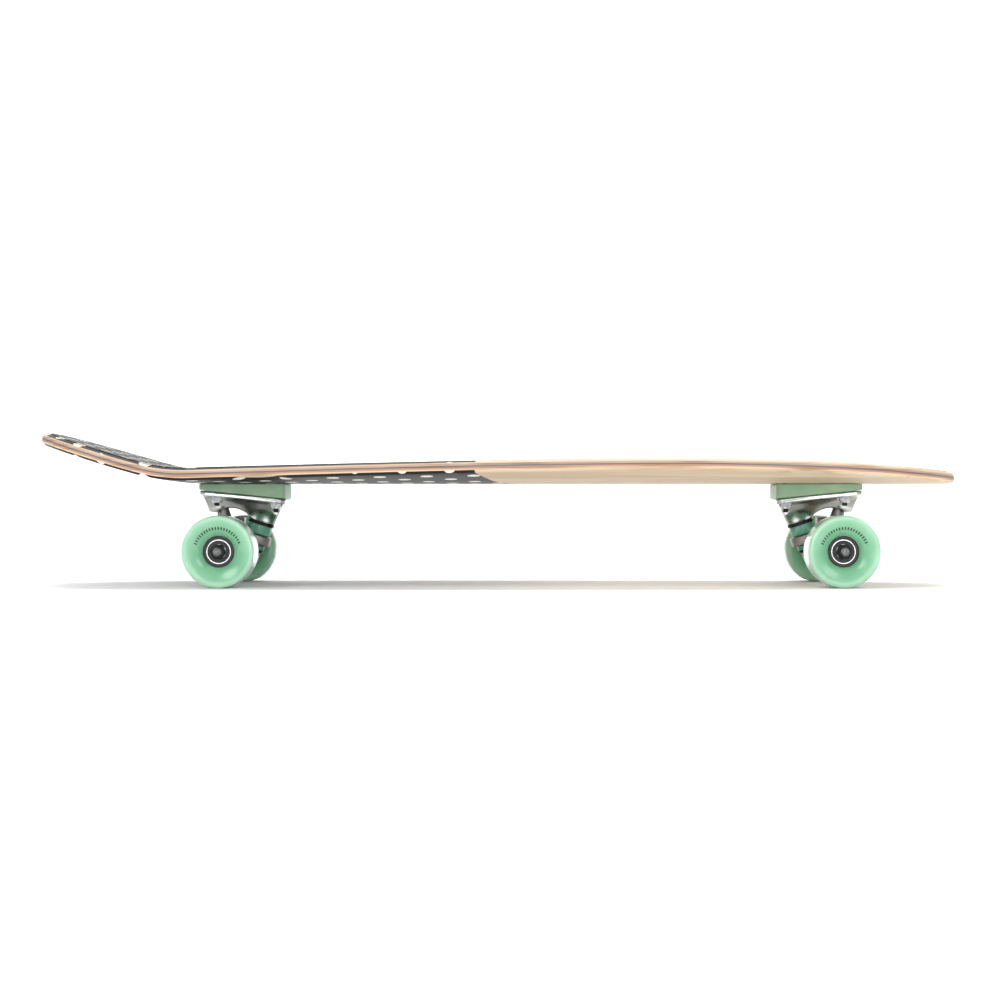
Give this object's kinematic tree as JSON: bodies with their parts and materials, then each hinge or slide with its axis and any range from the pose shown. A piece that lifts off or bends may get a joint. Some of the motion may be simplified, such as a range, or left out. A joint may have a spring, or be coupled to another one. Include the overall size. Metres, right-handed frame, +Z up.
{
  "type": "skateboard",
  "caption": "Cruiser skateboard: laminated maple deck with one kicktail, mint wheels and wedge risers, sprung steering trucks.",
  "frame": {"origin": "on the ground, under the middle of the deck's length and width", "axes": "+X to the nose along the deck, +Y to the left of travel, +Z up"},
  "size_m": [0.8379, 0.2364, 0.1414],
  "materials": {
    "maple_plies": "clear satin lacquer over pressed maple plies",
    "clear_grip": "gritty clear sheet over print",
    "riser_rubber": "moulded, satin",
    "cast_aluminium": "polished casting",
    "bushing_urethane": "poured urethane, satin",
    "wheel_urethane": "poured urethane, glossy and slightly clear",
    "black_plastic": "moulded nylon",
    "bearing_steel": "ground steel race",
    "black_steel": "black oxide",
    "zinc_steel": "zinc plated"
  },
  "bodies": {
    "root": {"deck": "maple_plies", "grip_tape": "clear_grip", "rear_riser": "riser_rubber", "rear_baseplate": "cast_aluminium", "rear_pivot_cup": "black_plastic", "rear_kingpin": "black_steel", "rear_kingpin_nut": "zinc_steel", "rear_boardside_washer": "black_steel", "rear_boardside_bushing": "bushing_urethane", "rear_roadside_bushing": "bushing_urethane", "rear_roadside_washer": "black_steel", "rear_bolt_1": "black_steel", "rear_bolt_2": "black_steel", "rear_bolt_3": "black_steel", "rear_bolt_4": "black_steel", "rear_lock_nut_1": "zinc_steel", "rear_lock_nut_2": "zinc_steel", "rear_lock_nut_3": "zinc_steel", "rear_lock_nut_4": "zinc_steel", "front_riser": "riser_rubber", "front_baseplate": "cast_aluminium", "front_pivot_cup": "black_plastic", "front_kingpin": "black_steel", "front_kingpin_nut": "zinc_steel", "front_boardside_washer": "black_steel", "front_boardside_bushing": "bushing_urethane", "front_roadside_bushing": "bushing_urethane", "front_roadside_washer": "black_steel", "front_bolt_1": "black_steel", "front_bolt_2": "black_steel", "front_bolt_3": "black_steel", "front_bolt_4": "black_steel", "front_lock_nut_1": "zinc_steel", "front_lock_nut_2": "zinc_steel", "front_lock_nut_3": "zinc_steel", "front_lock_nut_4": "zinc_steel"},
    "rear_hanger_body": {"rear_hanger": "cast_aluminium", "rear_axle": "zinc_steel", "rear_left_axle_nut": "black_steel", "rear_right_axle_nut": "black_steel"},
    "front_hanger_body": {"front_hanger": "cast_aluminium", "front_axle": "zinc_steel", "front_left_axle_nut": "black_steel", "front_right_axle_nut": "black_steel"},
    "rear_left_wheel": {"rear_left_tyre": "wheel_urethane", "rear_left_core": "black_plastic", "rear_left_outer_bearing": "bearing_steel", "rear_left_inner_bearing": "bearing_steel"},
    "rear_right_wheel": {"rear_right_tyre": "wheel_urethane", "rear_right_core": "black_plastic", "rear_right_outer_bearing": "bearing_steel", "rear_right_inner_bearing": "bearing_steel"},
    "front_left_wheel": {"front_left_tyre": "wheel_urethane", "front_left_core": "black_plastic", "front_left_outer_bearing": "bearing_steel", "front_left_inner_bearing": "bearing_steel"},
    "front_right_wheel": {"front_right_tyre": "wheel_urethane", "front_right_core": "black_plastic", "front_right_outer_bearing": "bearing_steel", "front_right_inner_bearing": "bearing_steel"}
  },
  "joints": [
    {"name": "rear_steer", "type": "hinge", "parent": "root", "child": "rear_hanger_body", "pos_m": [-0.25544, 0, 0.0743], "axis": [-0.701, 0, 0.7131], "range_deg": [-12, 12], "stiffness_Nm_per_rad": 30, "deforming": ["rear_boardside_bushing", "rear_roadside_bushing"]},
    {"name": "front_steer", "type": "hinge", "parent": "root", "child": "front_hanger_body", "pos_m": [0.31494, 0, 0.0743], "axis": [0.701, 0, 0.7131], "range_deg": [-12, 12], "stiffness_Nm_per_rad": 30, "deforming": ["front_boardside_bushing", "front_roadside_bushing"]},
    {"name": "rear_left_wheel_spin", "type": "hinge", "parent": "rear_hanger_body", "child": "rear_left_wheel", "pos_m": [-0.245, 0.077, 0.032], "axis": [0, 1, 0], "continuous": true},
    {"name": "rear_right_wheel_spin", "type": "hinge", "parent": "rear_hanger_body", "child": "rear_right_wheel", "pos_m": [-0.245, -0.077, 0.032], "axis": [0, 1, 0], "continuous": true},
    {"name": "front_left_wheel_spin", "type": "hinge", "parent": "front_hanger_body", "child": "front_left_wheel", "pos_m": [0.3045, 0.077, 0.032], "axis": [0, 1, 0], "continuous": true},
    {"name": "front_right_wheel_spin", "type": "hinge", "parent": "front_hanger_body", "child": "front_right_wheel", "pos_m": [0.3045, -0.077, 0.032], "axis": [0, 1, 0], "continuous": true}
  ]
}
